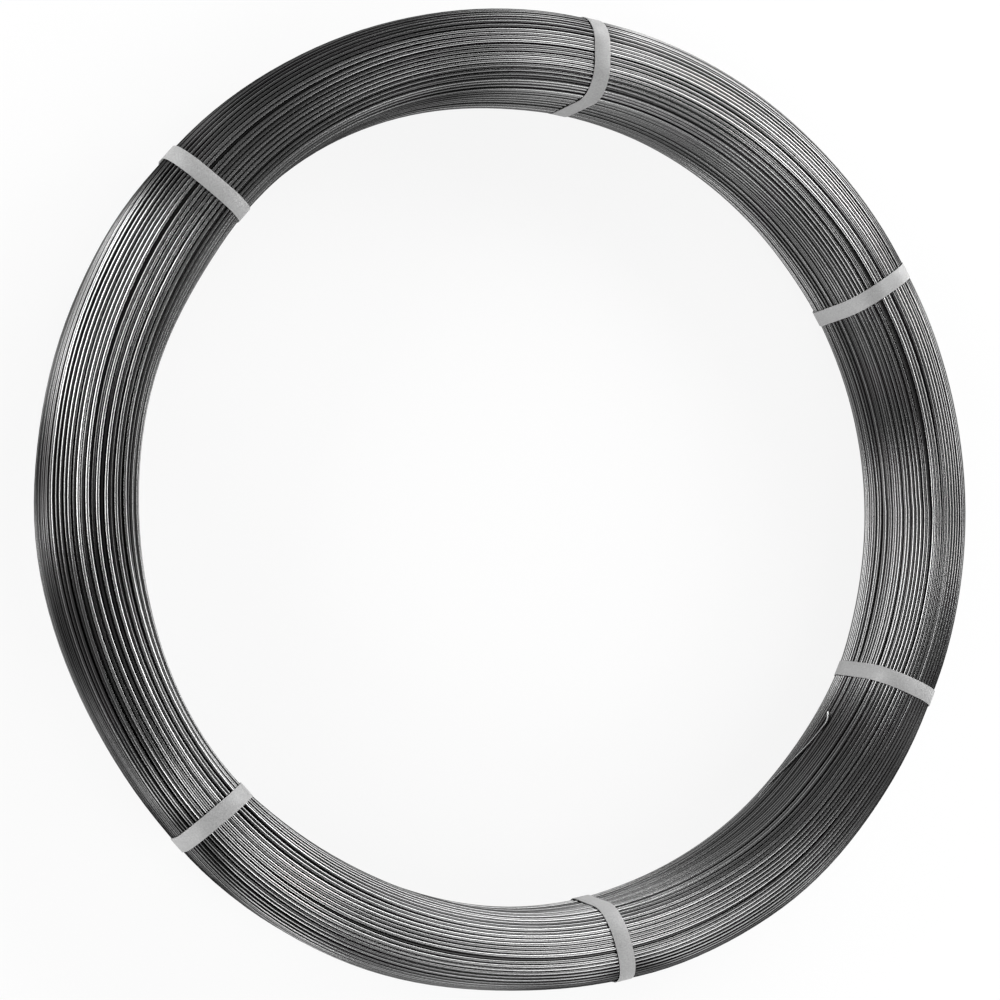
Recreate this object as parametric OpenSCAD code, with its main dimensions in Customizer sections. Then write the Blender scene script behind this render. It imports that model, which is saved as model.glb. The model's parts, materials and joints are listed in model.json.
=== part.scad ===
// A coil of drawn steel wire, lying flat, held by six flat straps.
// The turns are wound close, so the coil is one turned solid, and the turns that show
// stand as ribs on its ends, on its outside, on its corners and in its bore.
// Each strap is a closed band round the section, lapped and welded on the outside.

/* [Wire] */
// Diameter of the wire
wire_d = 2.5; // [2:0.1:4]

/* [Coil] */
// Diameter of the bore
coil_bore = 580; // [400:1:700]
// Thickness of the wound ring, from the bore to the outside turns
coil_wall = 59; // [40:1:90]
// Height across the turns, along the axis
coil_h = 85; // [70:1:120]
// Radius of the rounded corners of the section
corner_r = 24; // [16:1:26]

/* [Straps] */
// Width of a strap
strap_w = 12; // [8:1:20]
// Thickness of a strap
strap_t = 0.6; // [0.4:0.1:1.2]
// Length over which the two ends of a strap are lapped
lap_len = 28; // [12:1:36]
// Room between a strap and the turns that it holds
strap_clearance = 0.1; // [0.05:0.01:0.3]

/* [Hidden] */
$fn = 72;
// How far the turns stand out of the grooves between them, as a share of the wire
groove_share = 0.2;
// Most of the ring's thickness that one corner may take
corner_room_share = 0.45;
// Sides of a turn's section
turn_sides = 12;
// Places of the straps round the coil, in degrees from +X
strap_angles = [31.5, 83.5, 141, 221.5, 278.5, 334.5];

bore_r = coil_bore / 2;
outer_r = bore_r + coil_wall;
wire_r = wire_d / 2;
groove_depth = groove_share * wire_d;

// A strap is flat across its width and the bore wall is not, so it also clears that sag
strap_sag = bore_r - sqrt(bore_r * bore_r - strap_w * strap_w / 4);
strap_gap = strap_clearance + strap_sag;
// The coil lies on its straps
coil_z = strap_gap + strap_t;
coil_top = coil_z + coil_h;

// A corner leaves a flat on each end, and on the side a flat for the lap of a strap
corner = min(corner_r, corner_room_share * coil_wall, (coil_h - lap_len) / 2);
// Straight stretches of the section between its corners
end_run = coil_wall - 2 * corner;
side_run = coil_h - 2 * corner;

// Path of the outermost turns' centres, from the foot of the bore wall round the outside to its head
turn_r = corner - wire_r;
corner_run = turn_r * PI / 2;
path_stops = [
    corner_run,
    corner_run + end_run,
    2 * corner_run + end_run,
    2 * corner_run + end_run + side_run,
    3 * corner_run + end_run + side_run,
    3 * corner_run + 2 * end_run + side_run,
    4 * corner_run + 2 * end_run + side_run
];
path_len = path_stops[6];
turn_count = floor(path_len / wire_d);
turn_pitch = path_len / turn_count;

// Turns on the straight wall of the bore
bore_turn_count = floor(side_run / wire_d);
bore_turn_pitch = side_run / bore_turn_count;

// Corner centres of the section
inner_x = bore_r + corner;
outer_x = outer_r - corner;
low_z = coil_z + corner;
high_z = coil_top - corner;

// A place on a corner of the turns' path: a point, and the angle that faces out there
function on_corner(x, z, angle) = [x + turn_r * cos(angle), z + turn_r * sin(angle), angle];

// Degrees of corner that a length of the turns' path takes
function corner_turn(run) = run / turn_r * 180 / PI;

// The place on the turns' path at a distance from its start
function path_place(s) =
    s < path_stops[0] ? on_corner(inner_x, low_z, 180 + corner_turn(s)) :
    s < path_stops[1] ? [inner_x + s - path_stops[0], coil_z + wire_r, 270] :
    s < path_stops[2] ? on_corner(outer_x, low_z, 270 + corner_turn(s - path_stops[1])) :
    s < path_stops[3] ? [outer_r - wire_r, low_z + s - path_stops[2], 0] :
    s < path_stops[4] ? on_corner(outer_x, high_z, corner_turn(s - path_stops[3])) :
    s < path_stops[5] ? [outer_x - (s - path_stops[4]), coil_top - wire_r, 90] :
    on_corner(inner_x, high_z, 90 + corner_turn(s - path_stops[5]));

// The section's outline, with round corners, moved out by a distance or in by a negative one
module section_outline(out) {
    r = corner + out;
    translate([inner_x, low_z - r])
        square([end_run, side_run + 2 * r]);
    translate([inner_x - r, low_z])
        square([end_run + 2 * r, side_run]);
    for (x = [inner_x, outer_x], z = [low_z, high_z])
        translate([x, z])
            circle(r = r);
}

// A turn's section, at a place on the turns' path
module turn(place) {
    translate([place[0], place[1]])
        rotate(place[2])
            circle(r = wire_r, $fn = turn_sides);
}

module wire_coil() {
    color("dimgray")
        rotate_extrude() {
            section_outline(-groove_depth);
            for (i = [0 : turn_count - 1])
                turn(path_place((i + 0.5) * turn_pitch));
            for (i = [0 : bore_turn_count - 1])
                turn([bore_r + wire_r, low_z + (i + 0.5) * bore_turn_pitch, 180]);
        }
}

module strap(angle) {
    color("lightgray")
        rotate([0, 0, angle])
            translate([0, strap_w / 2, 0])
                rotate([90, 0, 0])
                    linear_extrude(strap_w) {
                        difference() {
                            section_outline(strap_gap + strap_t);
                            section_outline(strap_gap);
                        }
                        // The outer end lies flat on the inner one
                        translate([outer_r + strap_gap, low_z + (side_run - lap_len) / 2])
                            square([2 * strap_t, lap_len]);
                    }
}

wire_coil();
for (i = [1 : len(strap_angles)])
    strap(strap_angles[i - 1]);
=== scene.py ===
import json
import math

import bmesh
import bpy
import numpy as np
from mathutils import Matrix, Vector


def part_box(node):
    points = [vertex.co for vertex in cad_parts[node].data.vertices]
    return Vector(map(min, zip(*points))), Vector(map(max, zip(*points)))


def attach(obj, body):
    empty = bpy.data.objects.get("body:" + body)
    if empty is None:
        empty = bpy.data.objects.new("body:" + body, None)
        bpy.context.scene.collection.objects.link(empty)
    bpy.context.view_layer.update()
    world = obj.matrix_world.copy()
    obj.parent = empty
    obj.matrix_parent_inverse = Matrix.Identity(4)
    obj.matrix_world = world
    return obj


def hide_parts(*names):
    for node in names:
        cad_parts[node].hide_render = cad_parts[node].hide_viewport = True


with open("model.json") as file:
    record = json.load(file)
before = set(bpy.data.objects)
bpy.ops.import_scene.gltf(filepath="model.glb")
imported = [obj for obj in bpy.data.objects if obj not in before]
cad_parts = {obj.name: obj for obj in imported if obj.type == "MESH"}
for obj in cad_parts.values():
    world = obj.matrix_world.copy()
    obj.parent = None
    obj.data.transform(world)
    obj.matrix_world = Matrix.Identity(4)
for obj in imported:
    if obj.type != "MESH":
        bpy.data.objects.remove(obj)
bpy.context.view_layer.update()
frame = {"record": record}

# Turns inside the coil
# Hundreds of turns of drawn steel wire lie under those that show. Only their dark mass is seen, deep in
# the gaps, so they are one ring, turned from the coil's section a few wires in from its outline.
WIRE_D = 0.0025
CORNER_R = 0.024
CORE_DEPTH = 3.2 * WIRE_D
CORE_STEPS = 180
CORE_POINTS = 48
CORE_MERGE = WIRE_D / 50
CORE_GRAIN = 300
# The inner turns are painted near-black: painted shade, for the shadow deep in the gaps
CORE_PAINTED_SHADE_GREY = (0.03, 0.07)
NOISE_DETAIL = 3
NOISE_RANGE = (0.3, 0.7)

# The bundle was tied by hand, so its bore, rim and top wander from a true ring:
# angle and reach in degrees, change in metres
BORE_WANDER = (
    (38, 12, -0.0005), (70, 14, 0.0005), (92, 14, -0.0015), (150, 16, -0.0036), (179, 12, -0.0012),
    (214, 15, 0.0038), (246, 12, -0.0011), (270, 12, 0.0012), (318, 8, -0.0007), (335, 10, 0.0014),
)
RIM_WANDER = (
    (60, 26, 0.0010), (148, 26, 0.0022), (157, 7, -0.0006), (186, 10, 0.0018), (213, 14, -0.0030),
    (267, 17, -0.0057), (306, 10, 0.0018), (332, 18, -0.0010),
)
TOP_WANDER = (
    (20, 30, -0.0008), (110, 24, 0.0007), (185, 26, -0.0009), (250, 22, 0.0008), (305, 20, -0.0006),
)
# Each strap draws the bundle in a little
STRAP_ANGLES = (31.5, 83.9, 141.2, 221.55, 278.75, 334.6)
PINCH = 0.0004
PINCH_REACH = 4.5

mounts = {mount["name"]: mount for mount in frame["record"]["mounts"]}
coil_low, coil_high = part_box("wire_coil")
bore_radius = mounts["coil_bore"]["dims"]["r_mm"] / 1000
rim_radius = coil_high.x
wall = rim_radius - bore_radius
quarter = math.pi / 2
bore_bumps = BORE_WANDER + tuple((angle, PINCH_REACH, PINCH) for angle in STRAP_ANGLES)
rim_bumps = RIM_WANDER + tuple((angle, PINCH_REACH, -PINCH) for angle in STRAP_ANGLES)
top_bumps = TOP_WANDER + tuple((angle, PINCH_REACH, -PINCH) for angle in STRAP_ANGLES)


def wander(angle, bumps):
    """How far the bundle strays at an angle: a few smooth bumps."""
    total = 0 * angle
    for middle, reach, change in bumps:
        away = (angle - math.radians(middle) + math.pi) % (2 * math.pi) - math.pi
        total = total + change * np.exp(-(away / math.radians(reach)) ** 2)
    return total


def section_runs(angle):
    """Middle radius of the coil's section at an angle, and its straight stretches."""
    bore = bore_radius + wander(angle, bore_bumps)
    rim = rim_radius + wander(angle, rim_bumps)
    height = coil_high.z - coil_low.z + wander(angle, top_bumps)
    return (bore + rim) / 2, rim - bore - 2 * CORNER_R, height - 2 * CORNER_R


def section_length(angle, depth):
    """Length round the coil's section, at a depth under its outline."""
    _, flat, side = section_runs(angle)
    return 2 * (flat + side) + 4 * quarter * (CORNER_R - depth)


def section_place(angle, run, depth):
    """Radius, height and heading at a distance round the section.

    The distance starts in the middle of the underside and goes out, up the rim, over and down the bore.
    """
    middle, flat, side = section_runs(angle)
    turn_radius = CORNER_R - depth
    radius = middle + 0 * run
    height = coil_low.z + depth + 0 * run
    heading = 0 * run
    left = run % section_length(angle, depth)
    for corner, straight in enumerate((flat / 2, side, flat, side, flat / 2)):
        before = corner * quarter
        step = np.clip(left, 0, straight)
        left = left - straight
        turn = np.clip(left / turn_radius, 0, quarter)
        left = left - turn_radius * quarter
        turned_out = turn_radius * (np.sin(before + turn) - math.sin(before))
        turned_up = turn_radius * (math.cos(before) - np.cos(before + turn))
        radius = radius + step * math.cos(before) + turned_out
        height = height + step * math.sin(before) + turned_up
        heading = heading + turn
    return radius, height, heading


def ring_point(angle, radius, height):
    """Points in the frame's X, Y and Z."""
    return np.stack([radius * np.cos(angle), radius * np.sin(angle), height + 0 * angle], axis=-1)


def finish_mesh(mesh, name, material):
    """An object for a finished mesh, with its material and smooth faces."""
    mesh.materials.clear()
    mesh.materials.append(material)
    mesh.polygons.foreach_set("use_smooth", [True] * len(mesh.polygons))
    piece = bpy.data.objects.new(name, mesh)
    bpy.context.scene.collection.objects.link(piece)
    return piece


def new_material(name):
    """A material with its node tree, and its main shader."""
    material = bpy.data.materials.new(name)
    material.use_nodes = True
    return material, material.node_tree, material.node_tree.nodes["Principled BSDF"]


def make_core():
    """The ring of inner turns, spun from the section."""
    bm = bmesh.new()
    run = np.linspace(0, section_length(0.0, CORE_DEPTH), CORE_POINTS, endpoint=False)
    radius, height, _ = section_place(0.0 * run, run, CORE_DEPTH)
    loop = [bm.verts.new((r, 0, z)) for r, z in zip(radius, height)]
    edges = [bm.edges.new((loop[i], loop[i - 1])) for i in range(CORE_POINTS)]
    bmesh.ops.spin(bm, geom=edges, axis=(0, 0, 1), cent=(0, 0, 0), angle=2 * math.pi,
                   steps=CORE_STEPS, use_merge=True)
    bmesh.ops.remove_doubles(bm, verts=bm.verts, dist=CORE_MERGE)
    # The ring follows the bundle's stray bore and rim
    for vert in bm.verts:
        angle = math.atan2(vert.co.y, vert.co.x)
        out = math.hypot(vert.co.x, vert.co.y)
        share = (out - bore_radius) / wall
        stray = (1 - share) * wander(angle, bore_bumps) + share * wander(angle, rim_bumps)
        vert.co.x *= 1 + stray / out
        vert.co.y *= 1 + stray / out
    bmesh.ops.recalc_face_normals(bm, faces=bm.faces)
    mesh = bpy.data.meshes.new("inner_turns")
    bm.to_mesh(mesh)
    bm.free()
    return mesh


def add_noise(tree, coords, scale, values):
    """A noise texture over coordinates, spread between two values."""
    noise = tree.nodes.new("ShaderNodeTexNoise")
    noise.inputs["Scale"].default_value = scale
    noise.inputs["Detail"].default_value = NOISE_DETAIL
    tree.links.new(coords, noise.inputs["Vector"])
    spread = tree.nodes.new("ShaderNodeMapRange")
    spread.inputs["From Min"].default_value = NOISE_RANGE[0]
    spread.inputs["From Max"].default_value = NOISE_RANGE[1]
    spread.inputs["To Min"].default_value = values[0]
    spread.inputs["To Max"].default_value = values[1]
    tree.links.new(noise.outputs["Fac"], spread.inputs["Value"])
    return spread.outputs["Result"]


core_material, tree, shader = new_material("wire_in_shadow")
place = tree.nodes.new("ShaderNodeTexCoord").outputs["Object"]
tree.links.new(add_noise(tree, place, CORE_GRAIN, CORE_PAINTED_SHADE_GREY), shader.inputs["Base Color"])
shader.inputs["Metallic"].default_value = 0.6
shader.inputs["Roughness"].default_value = 0.7
inner_turns = finish_mesh(make_core(), "inner_turns", core_material)
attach(inner_turns, "root")
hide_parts("wire_coil")

# Turns of wire that show
# One long drawn wire, wound close in turn after turn. Each turn lies beside the one before it. Here and
# there the gap between two of them opens and closes again, and a turn sinks between its neighbours.
SEED = 11
TURNS = 75
# Points in a turn, and sides of the wire
STEPS = 180
WIRE_SIDES = 12
# A turn is counted from the first strap
START_ANGLE = math.radians(STRAP_ANGLES[0])
TURN_DEPTH = 0.45 * WIRE_D
# Least depth of the layer below under the turns that show
LEAST_NEST = 0.3 * WIRE_D

# Width of the gaps, as shares of the slack: in every gap, and in single gaps that open and close
EVEN_GAP = 1.4
OPEN_GAP = 1.9
# The turns lie looser on the rim and in the bore: place round the section and its reach as shares, width
LOOSE_GAPS = ((0.285, 0.08, 7.0), (0.75, 0.075, 12.0))
LOOSE_LEAST = 0.25
# The gap that runs on from the tip of the loose end: the turn before it, width, angle, reach in degrees
END_ROW = 55
END_GAP = 22.0
END_GAP_AT = 345
END_GAP_REACH = 17
# On the coil's left the top turns were squeezed: angle and its reach in degrees, place round the section
# and its reach as shares
SQUEEZE = (193, 27, 0.53, 0.19)
# How far turns sink, in wires: any turn, and every second one where they were squeezed
SINK = 0.13
SQUEEZE_SINK = 0.5

# Shade of the turns: what they share, and what varies along them. The layer below is darker still: painted
# shade, for the shadow it lies in
SHADE = 0.45
SHADE_VARIES = 0.35
UNDER_PAINTED_SHADE = 0.08
# Low in the bore a shade is painted on them: place round the section and its reach as shares, change
BORE_PAINTED_SHADE_AT = 0.78
BORE_PAINTED_SHADE_REACH = 0.1
BORE_PAINTED_SHADE = 0.45
# Where they were squeezed a highlight is painted on them, and on those that sat down a shade is painted
SQUEEZE_PAINTED_HIGHLIGHT = 0.3
SQUEEZE_PAINTED_SHADE = 1.1
# Stretches with painted light, lighter where a highlight or reflection is painted and darker where shade
# is painted: angle and its reach in degrees, place round the section and its reach as shares, change
PAINTED_LIGHT_PATCHES = (
    (114, 20, 0.30, 0.07, 0.6), (169, 13, 0.31, 0.11, 1.0), (178, 9, 0.42, 0.06, 0.6),
    (200, 14, 0.31, 0.11, -0.9), (228, 10, 0.33, 0.11, 2.2), (287, 13, 0.31, 0.08, 2.6),
    (340, 7, 0.40, 0.07, 0.5), (4, 6, 0.45, 0.25, -0.3), (44, 9, 0.42, 0.05, -0.3),
    (62, 8, 0.55, 0.07, 0.3), (104, 9, 0.50, 0.20, -0.3), (108, 11, 0.60, 0.15, -0.3),
    (150, 10, 0.60, 0.15, 0.2), (156, 12, 0.40, 0.20, 0.35), (190, 8, 0.63, 0.08, -0.35),
    (206, 9, 0.54, 0.06, 0.4), (17, 8, 0.66, 0.14, -0.5), (50, 15, 0.70, 0.12, -0.6),
    (114, 18, 0.72, 0.09, -0.7), (178, 11, 0.58, 0.14, -0.35), (245, 14, 0.64, 0.14, -0.3),
    (292, 9, 0.68, 0.12, 0.5), (329, 9, 0.68, 0.14, -0.5),
)
# No painted shade takes a turn below this share of its tone
DARKEST_PAINTED_SHADE = 0.05
# Painted shade: the wire's shade falls off from its crown, which faces out of the coil, to its flanks,
# where the turns shade each other
FLANK_FROM = -0.1
FLANK_TO = 0.8
FLANK_PAINTED_SHADE = 0.06
# Grey of the steel with no shade and with full shade
FULL_SHADE = 2.0
STEEL_DARK = 0.02
STEEL_BRIGHT = 0.78
STEEL_EDGE = (0.2, 0.2, 0.2, 1)
# Streaks left by the drawing die: cells round the wire, and cells in a metre of it
STREAKS_ROUND = 2.5
STREAKS_ALONG = 6.0
STREAK_SCALE = 1.0
STREAK_SHADE = (0.88, 1.12)
ROUGHNESS_SCALE = 0.7
ROUGHNESS = (0.2, 0.27)

rng = np.random.default_rng(SEED)
turn_angle = START_ANGLE + np.arange(STEPS) * 2 * math.pi / STEPS
turn_degrees = np.degrees(turn_angle) % 360
turn_rows = np.arange(TURNS)
turn_share = (turn_rows[:, None] + 0.5) / TURNS


def ease(share):
    """A share from 0 to 1, with a smooth start and stop."""
    return share * share * (3 - 2 * share)


def smooth_line(knots_per_turn, power):
    """A smooth random line along all the turns, which ends as it starts and is 1 on average."""
    knots = rng.random(TURNS * knots_per_turn) ** power
    place = np.arange(TURNS * STEPS) * knots_per_turn / STEPS
    before = place.astype(int)
    share = ease(place - before)
    line = knots[before] * (1 - share) + knots[(before + 1) % len(knots)] * share
    return line.reshape(TURNS, STEPS) / line.mean()


def bump(place, middle, reach):
    """A smooth bump, 1 in its middle."""
    return np.exp(-((place - middle) / reach) ** 2)


def stretch(angle, reach, share, share_reach):
    """A stretch of the turns, by its angle and its place round the section: 1 in its middle."""
    away = (turn_degrees - angle + 180) % 360 - 180
    return bump(away, 0, reach) * bump(turn_share, share, share_reach)


def lay_wire(angle, run, sink):
    """Centre points of the wire, in the order in which it runs, and which way is out of the coil there."""
    angle = np.broadcast_to(angle, run.shape)
    radius, height, heading = section_place(angle, run, TURN_DEPTH)
    out = ring_point(angle, np.sin(heading), -np.cos(heading)).reshape(-1, 3)
    points = ring_point(angle, radius, height).reshape(-1, 3) - out * sink.reshape(-1, 1)
    return points, out


def wire_mesh(name, points, out, tone, painted_flank):
    """A round wire along a line of points, with closed ends, its tone with painted light in it, painted
    shade on its flanks, and its grain.
    """
    curve = bpy.data.curves.new(name, "CURVE")
    curve.dimensions = "3D"
    curve.bevel_depth = WIRE_D / 2
    # A bevel has four sides, and two more for each step of its resolution
    curve.bevel_resolution = (WIRE_SIDES - 4) // 2
    curve.use_fill_caps = True
    spline = curve.splines.new("POLY")
    spline.points.add(len(points) - 1)
    spline.points.foreach_set("co", np.column_stack([points, np.ones(len(points))]).ravel())
    holder = bpy.data.objects.new(name, curve)
    bpy.context.scene.collection.objects.link(holder)
    bpy.context.view_layer.update()
    mesh = bpy.data.meshes.new_from_object(holder)
    bpy.data.objects.remove(holder)
    # The mesh's points are rings round the wire, one for each point of the line, and then the ends
    place = np.empty(len(mesh.vertices) * 3)
    mesh.vertices.foreach_get("co", place)
    ring_count = len(points) * WIRE_SIDES
    rings = place[:ring_count * 3].reshape(len(points), WIRE_SIDES, 3)
    # How far each point of a ring faces out of the coil: the mask for the shade painted on the flanks
    painted_shade_mask = ((rings - points[:, None]) * out[:, None]).sum(axis=2) / (WIRE_D / 2)
    painted_shade_mask = np.clip((painted_shade_mask - FLANK_FROM) / (FLANK_TO - FLANK_FROM), 0, 1)
    # The tone, with its painted light and shade, goes on the mesh as an attribute
    tone_and_painted_light = np.full(len(mesh.vertices), tone[-1])
    tone_and_painted_light[:ring_count] = (tone[:, None] * (painted_flank + (1 - painted_flank) * painted_shade_mask)).ravel()
    mesh.attributes.new("tone_and_painted_light", "FLOAT", "POINT").data.foreach_set("value", tone_and_painted_light)
    steps = np.linalg.norm(np.diff(points, axis=0), axis=1)
    along = np.append(0, np.cumsum(steps)) * STREAKS_ALONG
    turned = np.arange(WIRE_SIDES) * 2 * math.pi / WIRE_SIDES
    grain = np.zeros((len(mesh.vertices), 3))
    grain[:ring_count, 0] = np.tile(np.cos(turned) * STREAKS_ROUND, len(points))
    grain[:ring_count, 1] = np.tile(np.sin(turned) * STREAKS_ROUND, len(points))
    grain[:ring_count, 2] = np.repeat(along, WIRE_SIDES)
    mesh.attributes.new("grain", "FLOAT_VECTOR", "POINT").data.foreach_set("vector", grain.ravel())
    return mesh


def add_wire_piece(name, points, out, tone, painted_flank):
    """A piece of the wire, with its material and its place in the frame."""
    piece = finish_mesh(wire_mesh(name, points, out, tone, painted_flank), name, wire_material)
    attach(piece, "root")
    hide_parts("wire_coil")


wire_material, tree, shader = new_material("drawn_steel_wire")
shader.inputs["Metallic"].default_value = 1.0
shader.inputs["Specular Tint"].default_value = STEEL_EDGE
grain_node = tree.nodes.new("ShaderNodeAttribute")
grain_node.attribute_name = "grain"
streaks = grain_node.outputs["Vector"]
tree.links.new(add_noise(tree, streaks, ROUGHNESS_SCALE, ROUGHNESS), shader.inputs["Roughness"])
tone_and_light_node = tree.nodes.new("ShaderNodeAttribute")
tone_and_light_node.attribute_name = "tone_and_painted_light"
steel = tree.nodes.new("ShaderNodeMapRange")
steel.inputs["From Max"].default_value = FULL_SHADE
steel.inputs["To Min"].default_value = STEEL_DARK
steel.inputs["To Max"].default_value = STEEL_BRIGHT
streaked = tree.nodes.new("ShaderNodeMath")
streaked.operation = "MULTIPLY"
tree.links.new(tone_and_light_node.outputs["Fac"], streaked.inputs[0])
tree.links.new(add_noise(tree, streaks, STREAK_SCALE, STREAK_SHADE), streaked.inputs[1])
tree.links.new(streaked.outputs[0], steel.inputs["Value"])
tree.links.new(steel.outputs["Result"], shader.inputs["Base Color"])

loose = sum(width * bump(turn_share, place, reach) for place, reach, width in LOOSE_GAPS)
gap = EVEN_GAP + OPEN_GAP * smooth_line(knots_per_turn=6, power=9)
gap = gap + loose * (LOOSE_LEAST + (1 - LOOSE_LEAST) * smooth_line(knots_per_turn=4, power=4))
gap[END_ROW] += END_GAP * bump(turn_degrees, END_GAP_AT, END_GAP_REACH)
slack = section_length(turn_angle, TURN_DEPTH) - TURNS * WIRE_D
pitch = WIRE_D + gap * slack / gap.sum(axis=0)
run = np.cumsum(pitch, axis=0) - pitch + np.linspace(0, pitch[0, 0], STEPS, endpoint=False)
# Every second turn that was squeezed sits down between its neighbours
squeezed = stretch(*SQUEEZE)
sat_down = squeezed * (turn_rows[:, None] % 2)
sink = WIRE_D * (SINK * smooth_line(knots_per_turn=6, power=2) + SQUEEZE_SINK * sat_down)
top_points, top_out = lay_wire(turn_angle, run, sink)
top_tone_and_light = SHADE + SHADE_VARIES * smooth_line(knots_per_turn=4, power=1)
# Painted shade low in the bore and on turns that sat down, painted highlights where they were squeezed,
# and painted light in patches
top_tone_and_light = top_tone_and_light * (1 - BORE_PAINTED_SHADE * bump(turn_share, BORE_PAINTED_SHADE_AT, BORE_PAINTED_SHADE_REACH))
top_tone_and_light = top_tone_and_light * (1 + SQUEEZE_PAINTED_HIGHLIGHT * squeezed - SQUEEZE_PAINTED_SHADE * sat_down)
painted_light = 1 + sum(change * stretch(*patch) for *patch, change in PAINTED_LIGHT_PATCHES)
top_tone_and_light = top_tone_and_light * np.maximum(painted_light, DARKEST_PAINTED_SHADE)
# The turns of the layer below lie in the hollows between those that show
nest = np.sqrt(np.maximum(WIRE_D ** 2 - (pitch / 2) ** 2, LEAST_NEST ** 2))
nest = nest + (sink + np.roll(sink.ravel(), -STEPS).reshape(sink.shape)) / 2
under_points, under_out = lay_wire(turn_angle, run + pitch / 2, nest)
# The layer below is painted dark: painted shade
under_painted_shade = UNDER_PAINTED_SHADE + UNDER_PAINTED_SHADE * smooth_line(knots_per_turn=4, power=1)
TOP_NAMES = ("rim_turns_low", "rim_turns_high", "bore_turns_high", "bore_turns_low")
UNDER_NAMES = ("under_turns_rim", "under_turns_bore")
LAYERS = (
    (TOP_NAMES, top_points, top_out, top_tone_and_light),
    (UNDER_NAMES, under_points, under_out, under_painted_shade),
)
for names, points, out, shades in LAYERS:
    points = np.concatenate([points, points[:1]])
    out = np.concatenate([out, out[:1]])
    shades = np.append(shades.ravel(), shades[0, 0])
    for part, name in enumerate(names):
        first = TURNS * part // len(names) * STEPS
        last = TURNS * (part + 1) // len(names) * STEPS + 1
        add_wire_piece(name, points[first:last], out[first:last], shades[first:last], FLANK_PAINTED_SHADE)

# Loose end of the wire
# The wire's last stretch comes out from between the turns low in the bore, lies on them as it climbs,
# and stops at a cut tip that springs a little away from them.
END_POINTS = 60
# Where it starts and stops: steps along a turn, and rows of turns
END_STEPS = (138.6, 147.8)
END_ROWS = (61.2, 55.7)
# How deep it starts and how far out it then lies, in wires, and the share of its length that this takes
END_SINK = 0.7
END_LIFT = 0.6
END_CLIMB = 1 / 3
# The share of its length that springs, how far the tip stands off, and how many rows it drops
TIP_SHARE = 0.1
TIP_SPRING = 0.0022
TIP_DROP = 0.5
# The loose end stands free, so less shade is painted on its flanks
END_FLANK_PAINTED_SHADE = 0.7
END_SHADE = 0.25
# A highlight is painted on the tip where it springs
TIP_PAINTED_HIGHLIGHT = 0.85
way = np.linspace(0, 1, END_POINTS)
step = END_STEPS[0] + (END_STEPS[1] - END_STEPS[0]) * way
spring = np.clip((way - 1 + TIP_SHARE) / TIP_SHARE, 0, 1) ** 2
row = END_ROWS[0] + (END_ROWS[1] - END_ROWS[0]) * ease(way) + TIP_DROP * spring
before = step.astype(int)
run_before = np.array([np.interp(r, turn_rows, run[:, k]) for r, k in zip(row, before)])
run_after = np.array([np.interp(r, turn_rows, run[:, k + 1]) for r, k in zip(row, before)])
end_run = run_before + (run_after - run_before) * (step - before)
climb = ease(np.clip(way / END_CLIMB, 0, 1))
end_sink = WIRE_D * (END_SINK - (END_SINK + END_LIFT) * climb) - TIP_SPRING * spring
end_points, end_out = lay_wire(START_ANGLE + step * 2 * math.pi / STEPS, end_run, end_sink)
add_wire_piece("loose_end", end_points, end_out, END_SHADE + TIP_PAINTED_HIGHLIGHT * spring, END_FLANK_PAINTED_SHADE)

# Straps
# Six flat steel bands, each drawn tight round the section and welded where its ends lap, halfway up the
# rim side. They were put on by hand, so each lies a little askew.
STRAP_W = 0.012
STRAP_T = 0.0006
STRAP_GAP = 0.00016
STRAP_POINTS = 96
STRAP_BEVEL = 0.00012
# The outer end lies on the inner one over the lap, and steps down in a share of its length
LAP = 0.028
LAP_STEP = 0.2
LAP_RISE = 1.05 * STRAP_T
# Edges that are bevelled, and edges that stay sharp in the shading
BEVEL_ANGLE = math.radians(60)
SHARP_ANGLE = math.radians(35)
# How far each strap leans with height and with radius, as slopes
STRAP_SLOPES = (
    (0.04, 0.046), (-0.09, 0.11), (0.19, 0.036), (-0.18, -0.05), (-0.045, 0.105), (-0.05, 0.044),
)
STRAP_SPECKLE = 1100
STRAP_GREY = (0.31, 0.42)
STRAP_SMEAR = 90
STRAP_ROUGHNESS = (0.6, 0.75)


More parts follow.
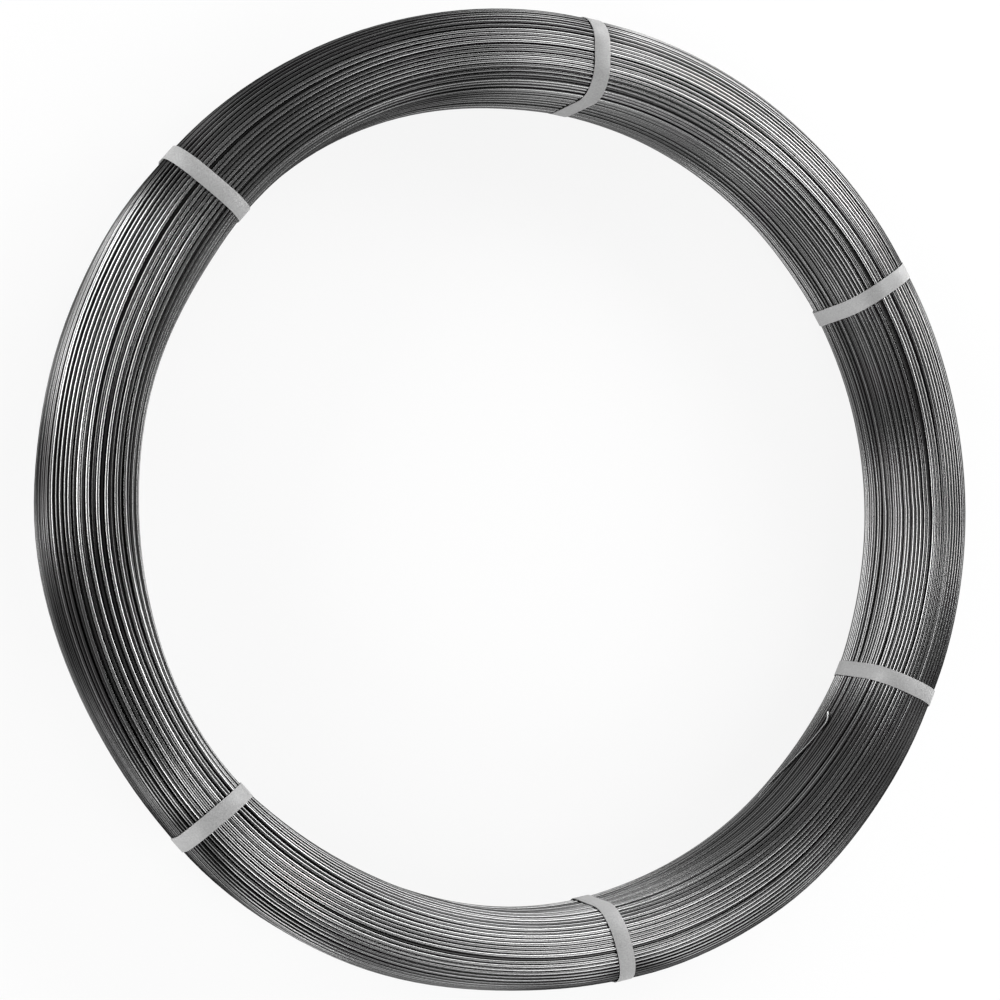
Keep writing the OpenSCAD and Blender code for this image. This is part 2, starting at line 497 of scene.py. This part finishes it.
def make_strap(name, angle, skew, lean):
    """A flat band, bent once round the section and lapped."""
    depth = -STRAP_GAP
    length = section_length(angle, depth)
    _, flat, side = section_runs(angle)
    # The band starts half a lap below the middle of the rim side and goes once round, under its own start
    start = flat / 2 + (CORNER_R - depth) * quarter + (side - LAP) / 2
    run = start + np.linspace(0, length + LAP, STRAP_POINTS)
    radius, height, _ = section_place(angle + 0 * run, run, depth)
    over = np.clip((start + (1 + LAP_STEP) * LAP - run) / (LAP_STEP * LAP), 0, 1)
    radius = radius + over * LAP_RISE
    mid_radius = (bore_radius + rim_radius) / 2
    along = Vector((-math.sin(angle), math.cos(angle), 0))
    out = Vector((math.cos(angle), math.sin(angle), 0))
    bm = bmesh.new()
    line = []
    for r, z in zip(radius, height):
        stray = skew * (z - coil_high.z) + lean * (r - mid_radius)
        line.append(bm.verts.new(out * r + along * (stray - STRAP_W / 2) + Vector((0, 0, z))))
    edges = [bm.edges.new((line[i], line[i + 1])) for i in range(STRAP_POINTS - 1)]
    made = bmesh.ops.extrude_edge_only(bm, edges=edges)["geom"]
    moved = [item for item in made if isinstance(item, bmesh.types.BMVert)]
    bmesh.ops.translate(bm, verts=moved, vec=along * STRAP_W)
    bmesh.ops.recalc_face_normals(bm, faces=bm.faces)
    bmesh.ops.solidify(bm, geom=bm.faces, thickness=-STRAP_T)
    bmesh.ops.recalc_face_normals(bm, faces=bm.faces)
    sharp = [edge for edge in bm.edges if edge.calc_face_angle() > BEVEL_ANGLE]
    bmesh.ops.bevel(bm, geom=sharp, offset=STRAP_BEVEL, segments=2, profile=0.5,
                    affect="EDGES", material=-1)
    mesh = bpy.data.meshes.new(name)
    bm.to_mesh(mesh)
    bm.free()
    mesh.set_sharp_from_angle(angle=SHARP_ANGLE)
    return mesh


strap_material, tree, shader = new_material("strapping_steel")
shader.inputs["Metallic"].default_value = 0.3
place = tree.nodes.new("ShaderNodeTexCoord").outputs["Object"]
tree.links.new(add_noise(tree, place, STRAP_SPECKLE, STRAP_GREY), shader.inputs["Base Color"])
tree.links.new(add_noise(tree, place, STRAP_SMEAR, STRAP_ROUGHNESS), shader.inputs["Roughness"])
for number, (degrees, slopes) in enumerate(zip(STRAP_ANGLES, STRAP_SLOPES), 1):
    node = "strap_" + str(number)
    band = make_strap(node, math.radians(degrees), *slopes)
    piece = finish_mesh(band, node + "_band", strap_material)
    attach(piece, "root")
    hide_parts(node)

# Floor
# A plain pale studio floor that reaches far past the coil. To the eye, and in the wire's shine, most of
# its white is a glow of its own, so that the coil's shadow on it is faint.
FLOOR_HALF = 150.0
FLOOR_WHITE = (0.9, 0.9, 0.9, 1)
FLOOR_GLOW = 0.86
bm = bmesh.new()
bmesh.ops.create_grid(bm, x_segments=1, y_segments=1, size=FLOOR_HALF)
mesh = bpy.data.meshes.new("floor")
bm.to_mesh(mesh)
bm.free()
floor_material, tree, shader = new_material("floor_white")
shader.inputs["Base Color"].default_value = FLOOR_WHITE
shader.inputs["Roughness"].default_value = 0.9
shader.inputs["Specular IOR Level"].default_value = 0.0
light_path = tree.nodes.new("ShaderNodeLightPath")
mirrored = tree.nodes.new("ShaderNodeMath")
mirrored.operation = "MAXIMUM"
tree.links.new(light_path.outputs["Is Glossy Ray"], mirrored.inputs[0])
tree.links.new(light_path.outputs["Is Transmission Ray"], mirrored.inputs[1])
seen = tree.nodes.new("ShaderNodeMath")
seen.operation = "MAXIMUM"
tree.links.new(light_path.outputs["Is Camera Ray"], seen.inputs[0])
tree.links.new(mirrored.outputs[0], seen.inputs[1])
amount = tree.nodes.new("ShaderNodeMath")
amount.operation = "MULTIPLY"
amount.inputs[1].default_value = FLOOR_GLOW
tree.links.new(seen.outputs[0], amount.inputs[0])
glow = tree.nodes.new("ShaderNodeEmission")
mix = tree.nodes.new("ShaderNodeMixShader")
tree.links.new(amount.outputs[0], mix.inputs[0])
tree.links.new(shader.outputs[0], mix.inputs[1])
tree.links.new(glow.outputs[0], mix.inputs[2])
tree.links.new(mix.outputs[0], tree.nodes["Material Output"].inputs["Surface"])
floor = finish_mesh(mesh, "floor", floor_material)

# Light
# Three wide soft lamps stand low on the right, at the back and on the left, three small ones in front,
# and the room is dim.
# Name, azimuth and elevation in degrees, distance, width and height in metres, power in watts
LAMPS = (
    ("lamp_right", 18, 20, 2.6, 2.0, 1.0, 42),
    ("lamp_back_right", 53, 22, 2.6, 2.2, 1.6, 59),
    ("lamp_back_left", 159, 17, 2.6, 2.5, 1.0, 64),
    ("lamp_front_left", 240, 20, 2.4, 1.6, 0.8, 26),
    ("lamp_front_right", 308, 24, 2.2, 1.4, 0.8, 14),
    ("lamp_front", 304, 52, 2.0, 1.0, 1.0, 5.5),
)
# The room's grey, low down and overhead: sine of the elevation, colour
ROOM_GREYS = ((0.25, (0.02, 0.02, 0.02, 1)), (0.9, (0.19, 0.19, 0.19, 1)))
for name, azimuth, elevation, distance, width, height, power in LAMPS:
    lamp = bpy.data.lights.new(name, "AREA")
    lamp.shape = "RECTANGLE"
    lamp.size = width
    lamp.size_y = height
    lamp.energy = power
    holder = bpy.data.objects.new(name, lamp)
    a = math.radians(azimuth)
    e = math.radians(elevation)
    away = Vector((math.cos(a) * math.cos(e), math.sin(a) * math.cos(e), math.sin(e)))
    holder.location = distance * away
    holder.rotation_euler = away.to_track_quat("Z", "Y").to_euler()
    bpy.context.scene.collection.objects.link(holder)
world = bpy.data.worlds.new("room")
world.use_nodes = True
tree = world.node_tree
direction = tree.nodes.new("ShaderNodeTexCoord")
parts = tree.nodes.new("ShaderNodeSeparateXYZ")
ramp = tree.nodes.new("ShaderNodeValToRGB")
for stop, (position, grey) in zip(ramp.color_ramp.elements, ROOM_GREYS):
    stop.position = position
    stop.color = grey
tree.links.new(direction.outputs["Generated"], parts.inputs[0])
tree.links.new(parts.outputs["Z"], ramp.inputs["Fac"])
tree.links.new(ramp.outputs["Color"], tree.nodes["Background"].inputs["Color"])
bpy.context.scene.world = world
bpy.context.scene.view_settings.view_transform = "Standard"

# Camera
# It stands above the coil's left side and looks down through its bore, with the photograph's right
# along +X.
EYE = Vector((-0.5262, -0.0886, 1.2991))
AIM = Vector((-0.028, -0.0015, 0.0433))
LENS = 68.45
SENSOR = 36
camera_data = bpy.data.cameras.new("camera")
camera_data.lens = LENS
camera_data.sensor_width = SENSOR
back = (EYE - AIM).normalized()
right = Vector((0, 1, 0)).cross(back).normalized()
up = back.cross(right)
camera = bpy.data.objects.new("camera", camera_data)
camera.matrix_world = Matrix.Translation(EYE) @ Matrix((right, up, back)).transposed().to_4x4()
bpy.context.scene.collection.objects.link(camera)
bpy.context.scene.camera = camera
